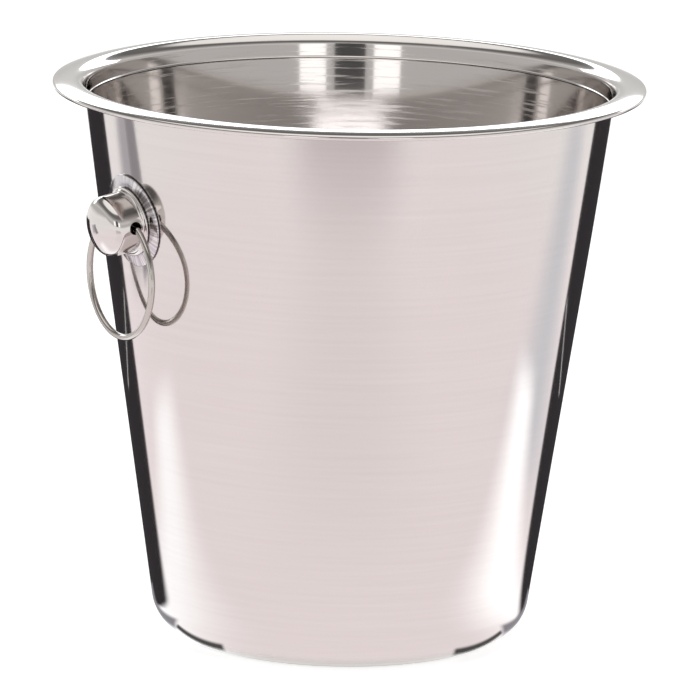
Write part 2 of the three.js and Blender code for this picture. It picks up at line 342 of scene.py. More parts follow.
@dataclass(frozen=True)
class DrawnWire(Grained):
    """Stainless steel wire, drawn through a die and tumbled.

    It shines, and small dents from the tumbling, about 1.5 mm apart, break up its long highlights.
    """

    name: str = "tumbled_stainless_steel_wire"
    colour: str = "b9b3ae"
    roughness: float = 0.13
    grain_mm: float = 1.5
    grain_depth_mm: float = 0.006
    detail: float = 2.0
    bump_strength: float = 0.6
    wear: Optional[Point] = (0.7, 1.4)


@dataclass(frozen=True)
class TurnedSteel(Grained):
    """Stainless steel as a lathe leaves it.

    The tool marks give it a satin, slightly grainy look. They are really about 0.1 mm apart, and
    are drawn at 0.4 mm so that they show.
    """

    name: str = "turned_stainless_steel"
    colour: str = "b4b1ae"
    roughness: float = 0.34
    grain_mm: float = 0.4
    grain_depth_mm: float = 0.01
    detail: float = 3.0
    bump_strength: float = 0.5
    wear: Optional[Point] = (0.8, 1.25)


@dataclass(frozen=True)
class MouldedRubber(Grained):
    """Black rubber, moulded.

    The mould's spark-eroded walls leave a fine, even texture, so that it looks matt and slightly
    soft. The texture is really about 0.1 mm, and is drawn at 0.3 mm so that it shows.
    """

    name: str = "moulded_black_rubber"
    colour: str = "1b1b1c"
    roughness: float = 0.72
    grain_mm: float = 0.3
    grain_depth_mm: float = 0.03
    detail: float = 4.0
    bump_strength: float = 0.7
    metallic: float = 0.0
    ior: Optional[float] = 1.52


class Finish(Enum):
    """The finishes, each with the record's material slot that it belongs to."""

    MIRROR = ("mirror_steel", MirrorSteel())
    BRUSHED = ("mirror_steel", BrushedDisc())
    RING = ("ring_steel", DrawnWire())
    PLAIN = ("plain_steel", TurnedSteel())
    SEAL = ("seal_rubber", MouldedRubber())

    @property
    def slot(self) -> str:
        """The record's material slot."""
        return self.value[0]


MADE: dict[Finish, bpy.types.Material] = {}


def material_of(finish: Finish) -> bpy.types.Material:
    """The material of a finish, made the first time that it is asked for."""
    if finish not in MADE:
        MADE[finish] = finish.value[1].material()
    return MADE[finish]


# ---- Mesh tools ---------------------------------------------------------------------------------


def arc(centre: Point, radius: float, start: float, end: float, steps: int) -> list[Point]:
    """Points on an arc, both ends included.

    Args:
        centre: The arc's centre.
        radius: The arc's radius.
        start: Angle of the first point, in radians.
        end: Angle of the last point, in radians.
        steps: How many stretches the arc is cut into.

    Returns:
        The points, in order.
    """
    angles = [start + (end - start) * i / steps for i in range(steps + 1)]
    return [(centre[0] + radius * math.cos(a), centre[1] + radius * math.sin(a)) for a in angles]


def even(start: Point, end: Point, steps: int) -> list[Point]:
    """Evenly spaced points on a straight line, without its two ends."""
    return [
        (start[0] + (end[0] - start[0]) * i / steps, start[1] + (end[1] - start[1]) * i / steps)
        for i in range(1, steps)]


def mesh_object(name: str, vertices: Sequence[Vector], faces: Sequence[Sequence[int]]) -> bpy.types.Object:
    """Makes a smooth-shaded mesh object whose faces point outwards.

    Args:
        name: The object's name.
        vertices: Vertex places, in metres.
        faces: Vertex numbers of each face.

    Returns:
        The object, linked to the scene.
    """
    mesh = bpy.data.meshes.new(name)
    mesh.from_pydata([tuple(v) for v in vertices], [], [tuple(f) for f in faces])
    shaped = bmesh.new()
    shaped.from_mesh(mesh)
    bmesh.ops.remove_doubles(shaped, verts=shaped.verts, dist=1e-7)
    bmesh.ops.recalc_face_normals(shaped, faces=shaped.faces)
    shaped.to_mesh(mesh)
    shaped.free()
    mesh.shade_smooth()
    piece = bpy.data.objects.new(name, mesh)
    bpy.context.scene.collection.objects.link(piece)
    return piece


def revolve(name: str, profile: Sequence[Point], segments: int) -> bpy.types.Object:
    """Turns a closed half profile about the Z axis.

    Args:
        name: The object's name.
        profile: Points of radius and height in millimetres, from the axis back to the axis, or a
            loop clear of the axis that ends where it starts.
        segments: How many columns of faces go round.

    Returns:
        The turned object.
    """
    loop = profile[0][0] > 0
    points = list(profile[:-1]) if loop else list(profile)
    vertices: list[Vector] = []
    rows: list[list[int]] = []
    for radius, height in points:
        count = segments if radius > 1e-6 else 1
        rows.append(list(range(len(vertices), len(vertices) + count)))
        for i in range(count):
            turn = 2 * math.pi * i / segments
            vertices.append(Vector((radius * math.cos(turn), radius * math.sin(turn), height)) * MM)
    faces = []
    pairs = list(zip(rows, rows[1:])) + ([(rows[-1], rows[0])] if loop else [])
    for low, high in pairs:
        for i in range(segments):
            j = (i + 1) % segments
            if len(low) == len(high) == 1:
                break
            if len(low) == 1:
                faces.append((low[0], high[j], high[i]))
            elif len(high) == 1:
                faces.append((low[i], low[j], high[0]))
            else:
                faces.append((low[i], low[j], high[j], high[i]))
    return mesh_object(name, vertices, faces)


def sweep(name: str, path: Sequence[Vector], radius: float, sides: int) -> bpy.types.Object:
    """Runs a round section along a path in the YZ plane and closes both ends with a small round.

    Args:
        name: The object's name.
        path: Points of the path, in millimetres.
        radius: The section's radius, in millimetres.
        sides: How many sides the section has.

    Returns:
        The swept object.
    """
    vertices: list[Vector] = []
    rows: list[list[int]] = []
    across = Vector((1, 0, 0))

    def add_row(centre: Vector, along: Vector, size: float) -> None:
        """Adds one ring of the section round a point of the path.

        Args:
            centre: The point.
            along: Which way the path runs there.
            size: The ring's radius.
        """
        side = along.cross(across).normalized()
        rows.append(list(range(len(vertices), len(vertices) + sides)))
        for i in range(sides):
            turn = 2 * math.pi * i / sides
            spoke = across * math.cos(turn) + side * math.sin(turn)
            vertices.append((centre + spoke * size) * MM)

    directions = [
        (path[min(i + 1, len(path) - 1)] - path[max(i - 1, 0)]).normalized() for i in range(len(path))]
    # Each end is closed by a flattened round, half as deep as the section's radius.
    end_rows = [(math.sin(a), math.cos(a) / 2) for a in (math.pi / 8 * k for k in (1, 2, 3))]
    for size, reach in end_rows:
        add_row(path[0] - directions[0] * radius * reach, directions[0], radius * size)
    for point, along in zip(path, directions):
        add_row(point, along, radius)
    for size, reach in reversed(end_rows):
        add_row(path[-1] + directions[-1] * radius * reach, directions[-1], radius * size)
    faces = [
        (low[i], low[(i + 1) % sides], high[(i + 1) % sides], high[i])
        for low, high in zip(rows, rows[1:]) for i in range(sides)]
    faces += [tuple(reversed(rows[0])), tuple(rows[-1])]
    return mesh_object(name, vertices, faces)


def carve(piece: bpy.types.Object, tools: Iterable[bpy.types.Object], crease_deg: float = 35) -> None:
    """Cuts tools out of a piece for good and keeps its cut edges crisp.

    Args:
        piece: The object that is cut.
        tools: The objects to cut away; they are removed afterwards.
        crease_deg: Edges that bend by more than this stay sharp.
    """
    for tool in tools:
        cut = piece.modifiers.new("cut", "BOOLEAN")
        cut.operation, cut.solver, cut.object = "DIFFERENCE", "EXACT", tool
        bpy.context.view_layer.update()
        shape = bpy.data.meshes.new_from_object(piece.evaluated_get(bpy.context.evaluated_depsgraph_get()))
        piece.modifiers.clear()
        old, piece.data = piece.data, shape
        bpy.data.meshes.remove(old)
        bpy.data.objects.remove(tool)
    piece.data.shade_smooth()
    piece.data.set_sharp_from_angle(angle=math.radians(crease_deg))


def settle(piece: bpy.types.Object, place: Matrix) -> None:
    """Moves a piece's mesh to its place in the object's frame and leaves the object at the origin."""
    piece.data.transform(place)
    piece.data.update()


def register(piece: bpy.types.Object, body: str, finish: Finish, *nodes: str) -> bpy.types.Object:
    """Dresses a piece, ties it to its body and hides the solids that it stands for.

    Args:
        piece: The finished piece.
        body: The body that it moves with.
        finish: Its finish.
        *nodes: The solids that it replaces.

    Returns:
        The piece.
    """
    piece.data.materials.clear()
    piece.data.materials.append(material_of(finish))
    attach(piece, body)
    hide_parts(*nodes)
    log.info("%s: %d faces, rides on %s", piece.name, len(piece.data.polygons), body)
    return piece


# ---- The wall that everything follows -----------------------------------------------------------


@dataclass(frozen=True)
class Wall:
    """The bucket's straight tapered wall; all sizes in millimetres."""

    base_radius: float = 68.6
    mouth_radius: float = 99.2
    sheet: float = 0.8
    height: float = field(default_factory=lambda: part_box("bucket_shell")[1].z / MM)

    @property
    def slope(self) -> float:
        """How far the wall widens per millimetre of height."""
        return (self.mouth_radius - self.base_radius) / self.height

    @property
    def lean(self) -> float:
        """The wall's angle from upright, in radians."""
        return math.atan(self.slope)

    def radius(self, height: float) -> float:
        """The wall's outside radius at a height."""
        return self.base_radius + self.slope * height


# ---- Bucket -------------------------------------------------------------------------------------


@dataclass
class Bucket:
    """The spun shell: base, tapered wall and arched rim; all sizes in millimetres."""

    wall: Wall
    body: str = "bucket"
    corner_radius: float = 15.7
    standing_width: float = 7.0
    base_rise: float = 1.6
    base_step: float = 4.0
    crest_width: float = 2.8
    rim_drop: float = 1.85
    roll_radius: float = 0.98
    roll_turn: float = 2.6
    roll_lap: float = 1.3
    bead_drop: float = 8.4
    bead_depth: float = 0.22
    bead_width: float = 0.9
    segments: int = 288

    def base_profile(self, inset: float) -> list[Point]:
        """One face of the sheet from the middle of the base to the foot of the wall.

        Args:
            inset: How far the face lies inside the outer one.

        Returns:
            Points of radius and height.
        """
        wall, corner = self.wall, self.corner_radius
        corner_r = wall.radius(corner) - corner / math.cos(wall.lean)
        standing = corner_r - self.standing_width
        middle = standing - self.base_step
        steps = 12
        slope = [
            (middle + self.base_step * t, inset + self.base_rise * (0.5 + 0.5 * math.cos(math.pi * t)))
            for t in (i / steps for i in range(steps + 1))]
        flat = even((0.0, slope[0][1]), slope[0], 4)
        return [
            (0.0, self.base_rise + inset), *flat, *slope,
            *even(slope[-1], (corner_r, inset), 3),
            *arc((corner_r, corner), corner - inset, -math.pi / 2, -wall.lean, 24)]

    def rim_profile(self) -> list[Point]:
        """The rim from under its bend, round the rolled edge and back over the crest.

        Returns:
            Points of radius and height.
        """
        wall = self.wall
        rim_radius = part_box("bucket_shell")[1].x / MM
        crest = wall.mouth_radius + self.crest_width
        inner_mouth = wall.mouth_radius - wall.sheet / math.cos(wall.lean)
        bend = (crest - inner_mouth) * math.cos(wall.lean) / (1 - wall.slope * math.cos(wall.lean))
        roll_r, roll_z = rim_radius - self.roll_radius, wall.height - self.rim_drop
        reach = roll_r - crest
        drop, roll = self.rim_drop, self.roll_radius
        arch = (reach ** 2 + drop ** 2 - roll ** 2) / (2 * (drop - roll))
        arch_end = math.acos(reach / (arch - roll))
        under_end = math.acos((reach - self.roll_lap * roll) / (arch - wall.sheet))
        bend_at, arch_at = (crest, wall.height - bend), (crest, wall.height - arch)
        up, wall_side = math.pi / 2, math.pi - wall.lean
        return [
            *arc(bend_at, bend - wall.sheet, wall_side, up, 12),
            *arc(arch_at, arch - wall.sheet, up, under_end, 8)[1:],
            *arc((roll_r, roll_z), roll, -self.roll_turn, arch_end, 18),
            *arc(arch_at, arch, arch_end, up, 12)[1:],
            *arc(bend_at, bend, up, wall_side, 14)[1:]]

    def bead(self) -> list[Point]:
        """The small step that the rim's die leaves round the inside of the wall, from the top down.

        Returns:
            Points of radius and height.
        """
        wall = self.wall
        middle = wall.height - self.bead_drop
        points = []
        for t in (i / 10 for i in range(11)):
            height = middle + self.bead_width * (0.5 - t)
            push = self.bead_depth * math.sin(math.pi * t) ** 2
            points.append((wall.radius(height) - wall.sheet / math.cos(wall.lean) - push, height))
        return points

    def straight(self, start: Point, end: Point) -> list[Point]:
        """Rows along a straight stretch, crowded at its ends so that its shading stays flat between.

        Args:
            start: Where the stretch starts.
            end: Where it ends.

        Returns:
            Points between the two, without them.
        """
        length = math.dist(start, end)
        stops = [0.2, 1.0, 3.0, 8.0]
        middle = [stops[-1] + (length - 2 * stops[-1]) * i / 12 for i in range(1, 12)]
        offsets = stops + middle + [length - stop for stop in reversed(stops)]
        return [
            (start[0] + (end[0] - start[0]) * o / length, start[1] + (end[1] - start[1]) * o / length)
            for o in offsets]

    def build(self) -> bpy.types.Object:
        """Turns the shell from its profile.

        Returns:
            The shell.
        """
        outside, inside = self.base_profile(0.0), self.base_profile(self.wall.sheet)
        rim, bead = self.rim_profile(), self.bead()
        profile = [
            *outside, *self.straight(outside[-1], rim[0]), *rim,
            *even(rim[-1], bead[0], 12), *bead,
            *self.straight(bead[-1], inside[-1]), *reversed(inside)]
        return register(revolve("shell", profile, self.segments), self.body, Finish.MIRROR, "bucket_shell")


# ---- Handle -------------------------------------------------------------------------------------


@dataclass
class Handle:
    """A drop-ring handle: rosette, hollow knob, ring and the screw that holds it; in millimetres."""

    wall: Wall
    side: str
    body: str = "bucket"
    rosette_margin: float = 4.25
    rosette_sheet: float = 0.7
    rosette_dish: float = 0.35
    knob_radius: float = 11.3
    knob_flange_width: float = 1.65
    knob_sheet: float = 0.8
    knob_dome: float = 1.4
    knob_edge_radius: float = 4.8
    knob_shoulder: float = 2.4
    eye_radius: float = 2.4
    eye_land: float = 0.25
    gap: float = 0.25
    wire_radius: float = 1.225
    ring_radius: float = 22.4
    ring_play: float = 0.47
    ring_end_length: float = 3.0
    seal_radius: float = 6.0
    seal_thickness: float = 1.2
    washer_radius: float = 5.0
    washer_thickness: float = 0.8
    screw_radius: float = 2.0
    head_radius: float = 4.0
    head_height: float = 2.4
    hole_radius: float = 2.4
    screw_bite: float = 6.5
    slot_reach: float = 2.1
    slot_depth: float = 1.3
    slot_share: float = 0.3
    seal_round: float = 0.35
    washer_round: float = 0.15
    fillet_share: float = 0.66

    @property
    def turn(self) -> float:
        """The handle's direction round the bucket, in radians."""
        return math.atan2(self.hinge().y, self.hinge().x)

    @property
    def eye_offset(self) -> float:
        """From the wall out to the centre of the eyes."""
        return self.foot + self.knob_sheet + self.eye_land + self.eye_radius

    @property
    def foot(self) -> float:
        """From the wall out to the underside of the knob's flange."""
        return self.gap + self.rosette_dish + self.rosette_sheet + self.gap

    @property
    def flange_radius(self) -> float:
        """Outside radius of the knob's flange."""
        return self.knob_radius + self.knob_flange_width

    @property
    def rosette_radius(self) -> float:
        """Outside radius of the rosette."""
        return self.flange_radius + self.rosette_margin

    def hinge(self) -> Vector:
        """The middle of the ring's hinge line, in millimetres, as the joint states it."""
        joint = next(j for j in frame["joints"] if j["child"] == f"{self.side}_ring")
        return Vector(joint["pos_m"]) / MM

    def ring_rest(self) -> float:
        """How far the loose wire sits below the eyes' centre, and as far towards the wall."""
        return (self.eye_radius - self.wire_radius - self.ring_play) / math.sqrt(2)

    def seat(self) -> tuple[float, float]:
        """Radius and height of the point on the wall that the handle is centred on."""
        out = self.eye_offset - self.ring_rest()
        height = self.hinge().z + out * math.sin(self.wall.lean) + self.ring_rest()
        return self.wall.radius(height), height

    def place(self) -> Matrix:
        """From the handle's own frame, +Z out of the wall and +X down it, to the object's frame."""
        radius, height = self.seat()
        stand = Matrix.Translation(Vector((radius, 0, height)) * MM)
        tilt = Matrix.Rotation(math.pi / 2 + self.wall.lean, 4, "Y")
        return Matrix.Rotation(self.turn, 4, "Z") @ stand @ tilt

    def bend(self, piece: bpy.types.Object, start: float = math.inf, end: float = math.inf) -> None:
        """Bends a piece round the tapered wall, in the handle's frame.

        Args:
            piece: The piece to bend.
            start: Up to this far out it follows the wall.
            end: From this far out it stays straight.
        """
        for vertex in piece.data.vertices:
            down, along, out = vertex.co / MM
            follow = 1.0 if out <= start else max(0.0, min(1.0, (end - out) / (end - start)))
            radius = self.seat()[0] - down * math.sin(self.wall.lean)
            vertex.co.z = (out - follow * (radius - math.sqrt(radius ** 2 - along ** 2))) * MM

    def build_rosette(self) -> bpy.types.Object:
        """The thin dished disc between knob and wall, with a rounded edge.

        Returns:
            The rosette.
        """
        outer, seat, sheet, back = self.rosette_radius, self.flange_radius, self.rosette_sheet, self.gap
        edge = sheet / 2

        def lift(radius: float) -> float:
            """Height of the dish at a radius: flat under the knob, rolling down to the edge."""
            t = max(0.0, min(1.0, (outer - edge - radius) / (outer - edge - seat)))
            return back + self.rosette_dish * math.sin(math.pi / 2 * t)

        steps = 14
        under = [self.hole_radius + (outer - edge - self.hole_radius) * i / steps for i in range(steps + 1)]
        profile = [
            *[(r, lift(r)) for r in under[:-1]],
            *arc((outer - edge, back + edge), edge, -math.pi / 2, math.pi / 2, 10),
            *[(r, lift(r) + sheet) for r in reversed(under[:-1])],
            (self.hole_radius, lift(self.hole_radius))]
        piece = revolve(f"{self.side}_handle_rosette", profile, 128)
        spokes = piece.data.uv_layers.new(name="spokes")
        for corner in piece.data.loops:
            spokes.data[corner.index].uv = piece.data.vertices[corner.vertex_index].co.xy.normalized()
        self.bend(piece)
        settle(piece, self.place())
        return register(piece, self.body, Finish.BRUSHED, f"{self.side}_rosette")

    def knob_face(self, inset: float) -> list[Point]:
        """One face of the knob's sheet from above the flange to the middle of its crown.

        Args:
            inset: How far the face lies inside the outer one.

        Returns:
            Points of radius and height.
        """
        radius, edge = self.knob_radius, self.knob_edge_radius
        shoulder = self.eye_offset + self.eye_radius + self.knob_shoulder
        centre = radius - edge
        centres_arc = (centre ** 2 + self.knob_dome ** 2) / (2 * self.knob_dome)
        face_lean = math.asin(centre / centres_arc)
        face = centres_arc + edge
        depth = shoulder + edge + self.knob_dome
        foot = (radius - inset, self.foot + 2 * self.knob_sheet)
        return [
            foot, *even(foot, (radius - inset, shoulder), 16),
            *arc((centre, shoulder), edge - inset, 0, math.pi / 2 - face_lean, 12),
            *arc((0.0, depth - face), face - inset, math.pi / 2 - face_lean, math.pi / 2, 8)[1:]]

    def build_knob(self) -> bpy.types.Object:
        """The hollow pressed cup with its flange and the two eyes that the ring turns in.

        Returns:
            The knob.
        """
        sheet, flange, foot = self.knob_sheet, self.flange_radius, self.foot
        edge = sheet / 2
        fillet = self.knob_flange_width - edge
        bend = fillet * self.fillet_share
        rise = foot + sheet
        base = [
            (self.knob_radius - sheet, foot),
            *arc((flange - edge, foot + edge), edge, -math.pi / 2, math.pi / 2, 8),
            *arc((self.knob_radius + fillet, rise + bend), bend, -math.pi / 2, -math.pi, 6)[1:-1]]
        profile = [*base, *self.knob_face(0.0), *reversed(self.knob_face(sheet)), base[0]]
        profile = [(max(r, 0.0), z) for r, z in profile]
        piece = revolve(f"{self.side}_handle_knob", profile, 144)
        self.bend(piece, foot + sheet, self.eye_offset + self.eye_radius)
        eye, half = self.eye_radius, 20
        drill = revolve(f"{self.side}_eye_drill", [(0, -half), (eye, -half), (eye, half), (0, half)], 64)
        lift = Matrix.Translation((0, 0, self.eye_offset * MM))
        drill.data.transform(lift @ Matrix.Rotation(math.pi / 2, 4, "X"))
        carve(piece, [drill])
        settle(piece, self.place())
        return register(piece, self.body, Finish.MIRROR, f"{self.side}_knob")

    def build_ring(self) -> bpy.types.Object:
        """The open wire loop, its ends turned in along the hinge line.

        Returns:
            The ring.
        """
        reach, radius = self.knob_radius, self.ring_radius
        drop = math.sqrt(radius ** 2 - reach ** 2)
        start = math.asin(reach / radius) + self.wire_radius / radius

        def at(angle: float) -> Vector:
            """A point of the loop, by its angle from straight up."""
            return Vector((0, radius * math.sin(angle), radius * math.cos(angle) - drop))

        steps = 150
        loop = [at(start + (2 * math.pi - 2 * start) * i / steps) for i in range(steps + 1)]
        inner, outer = Vector((0, reach - self.wire_radius, 0)), Vector((0, reach, 0))
        end = Vector((0, reach - self.ring_end_length, 0))
        corner = [
            inner * (1 - t) ** 2 + outer * 2 * t * (1 - t) + loop[0] * t ** 2
            for t in (i / 8 for i in range(8))]
        lead = [end + (inner - end) * i / 4 for i in range(4)] + corner
        mirrored = [Vector((0, -p.y, p.z)) for p in reversed(lead)]
        piece = sweep(f"{self.side}_handle_ring", lead + loop + mirrored, self.wire_radius, 28)
        settle(piece, Matrix.Translation(self.hinge() * MM) @ Matrix.Rotation(self.turn, 4, "Z"))
        return register(piece, f"{self.side}_ring", Finish.RING, f"{self.side}_ring")

    def build_fixings(self) -> list[bpy.types.Object]:
        """Seal, washer and screw inside the bucket, each with softened edges.

        Returns:
            The three pieces.
        """
        radius = self.seat()[0]
        sag = radius - math.sqrt(radius ** 2 - self.seal_radius ** 2)
        seal_top = -self.wall.sheet - self.gap - sag
        washer_top = seal_top - self.seal_thickness - self.gap
        head_top = washer_top - self.washer_thickness - self.gap

        def washer(
            name: str, outer: float, top: float, thickness: float, round_off: float,
        ) -> bpy.types.Object:
            """A flat ring with rounded corners.

            Args:
                name: Its name.
                outer: Its outside radius.
                top: How far out its outer face lies.
                thickness: How thick it is.
                round_off: The radius of its corners.

            Returns:
                The ring.
            """
            low = top - thickness
            half = math.pi / 2
            profile = [
                (self.hole_radius, low),
                *arc((outer - round_off, low + round_off), round_off, -half, 0, 4),
                *arc((outer - round_off, top - round_off), round_off, 0, half, 4),
                (self.hole_radius, top), (self.hole_radius, low)]
            return revolve(name, profile, 64)

        seal = washer(
            f"{self.side}_seal", self.seal_radius, seal_top, self.seal_thickness, self.seal_round)
        plain = washer(
            f"{self.side}_washer", self.washer_radius, washer_top, self.washer_thickness, self.washer_round)
        low = head_top - self.head_height
        dome = self.head_height / 2
        tip = self.foot + self.screw_bite
        shank = self.screw_radius
        screw = revolve(f"{self.side}_screw_body", [
            (0, low), *arc((self.head_radius - dome, low + dome), dome, -math.pi / 2, 0, 10),
            (self.head_radius, head_top), (shank, head_top), (shank, tip - shank / 2), (shank / 2, tip),
            (0, tip)], 64)
        slots = []
        for angle in (0.0, math.pi / 2):
            reach, deep = self.slot_reach, self.slot_depth
            slot = revolve(
                f"{self.side}_slot", [(0, -deep), (reach, -deep), (reach, deep), (0, deep)], 4)
            shrink = Matrix.Diagonal((1.0, self.slot_share, 1.0, 1.0))
            quarter = Matrix.Rotation(math.pi / 4, 4, "Z")
            turn = Matrix.Rotation(angle, 4, "Z")
            slot.data.transform(Matrix.Translation((0, 0, low * MM)) @ turn @ shrink @ quarter)
            slots.append(slot)
        carve(screw, slots)
        pieces = []
        for piece, finish, node in (
            (seal, Finish.SEAL, "seal_washer"),
            (plain, Finish.PLAIN, "steel_washer"),
            (screw, Finish.PLAIN, "screw"),
        ):
            piece.data.set_sharp_from_angle(angle=math.radians(40))
            settle(piece, self.place())
            pieces.append(register(piece, self.body, finish, f"{self.side}_{node}"))
        return pieces

    def dress_boss(self) -> None:
        """Gives the threaded boss inside the knob its finish; its shape is right as it is."""
        boss = frame["nodes"][f"{self.side}_knob_boss"]
        boss.data.materials.clear()
        boss.data.materials.append(material_of(Finish.PLAIN))
        log.info("%s: dressed", boss.name)

    def build(self) -> None:
        """Builds every piece of the handle."""
        self.build_rosette()
        self.build_knob()
        self.build_ring()
        self.build_fixings()
        self.dress_boss()


# ---- Studio -------------------------------------------------------------------------------------


@dataclass(frozen=True)
class Strip:
    """A soft-edged glowing strip on the floor, painted light or painted shade that only reflections see; in
    metres.

    Its middle is given right of the bucket and behind it, as the camera looks, its half sizes run
    along its heading and across it, and soft is how wide its edges fade. A hole is the radius of a
    gap in its middle, and a disc the radius of a round outline in place of the square one.
    """

    name: str
    middle: Point
    half: Point
    heading_deg: float
    level: float
    soft: float
    colour: str = "ffffff"
    lift: float = 0.0008
    hole: float = 0.0
    disc: float = 0.0


# Painted light round the foot, a painted dark line where the base meets the table, and the
# camera's own shade, painted.
FRONT_STRIPS = (
    Strip("bright_foot", (0.0, 0.0), (0.7, 0.7), 0.0, 1.2, 0.42, "fff7fa", 0.0004, hole=0.063),
    Strip("contact_shade", (0.0, 0.0), (0.07, 0.07), 0.0, 0.12, 0.001, lift=0.0002, disc=0.061),
    Strip("front_shade", (0.0, -0.36), (0.28, 0.21), 0.0, 1.12, 0.19, "fff7fa", 0.0006),
    Strip("far_front_shade", (0.0, -0.61), (0.24, 0.27), 0.0, 0.80, 0.17, "fff7fa"),
)
# Faint lilac painted reflections: glowing strips that only reflections see, further out on the table.
OUTER_STRIPS = (
    Strip("left_streak", (-0.573, 0.158), (0.17, 0.045), -117.0, 0.5, 0.02, "e4e0e8", 0.0011),
    Strip("left_stripe", (-0.54, 0.205), (0.16, 0.10), -120.0, 0.72, 0.08, "ebe8f0", 0.001),
    Strip("right_veil", (0.43, 0.17), (0.30, 0.14), 120.0, 0.98, 0.13, "f6f8ff", 0.0007),
)


@dataclass(frozen=True)
class TableSide:
    """The painted light, shade and reflections laid on the table on one side of the bucket; in metres."""

    name: str
    side: int
    dark_offset: float
    pool_reach: float
    pool_level: float
    dark_half: Point = (0.42, 0.24)
    dark_start: float = 0.06

    def strips(self) -> tuple[Strip, ...]:
        """The strips of this side.

        Returns:
            The strips, in the order in which they are laid.
        """
        side, name, (long, wide) = self.side, self.name, self.dark_half
        edge = Vector((side * self.dark_offset, 0.03))
        out, back = Vector((side, 1)).normalized(), Vector((-side, 1)).normalized()
        middle = edge + out * (long - self.dark_start) + back * wide
        return (
            # Painted dark reflection: a dark strip that only reflections see, standing for the table's dark
            # far end, whose edge runs off behind the bucket at 45 degrees.
            Strip(f"painted_dark_band_{name}", tuple(middle), (long, wide), side * 135.0, 0.085, 0.012,
                  "b8b0ba", 0.0016 + 0.0004 * side),
            # A painted pool of light on the floor beside the bucket.
            Strip(f"side_pool_{name}", (side * self.pool_reach, 0.010), (0.16, 0.07), side * 105.0,
                  self.pool_level, 0.065, "fafcff"),
            # A thin painted bright gap in the painted dark band, and painted shades under the base's rounded
            # corner.
            Strip(f"gap_{name}", (side * 0.285, 0.285), (0.07, 0.0045), side * 98.0, 0.8, 0.002, lift=0.003),
            Strip(f"foot_shade_{name}", (side * 0.0550, -0.0365), (0.018, 0.0036), side * 138.0, 0.1,
                  0.003, lift=0.002),
            Strip(f"corner_shade_{name}", (side * 0.0745, 0.012), (0.040, 0.009), side * 170.0, 0.45,
                  0.007, "e4e2ec", lift=0.0022),
        )


TABLE_SIDES = (
    TableSide("left", -1, dark_offset=0.135, pool_reach=0.172, pool_level=1.62),
    TableSide("right", 1, dark_offset=0.116, pool_reach=0.203, pool_level=1.85),
)


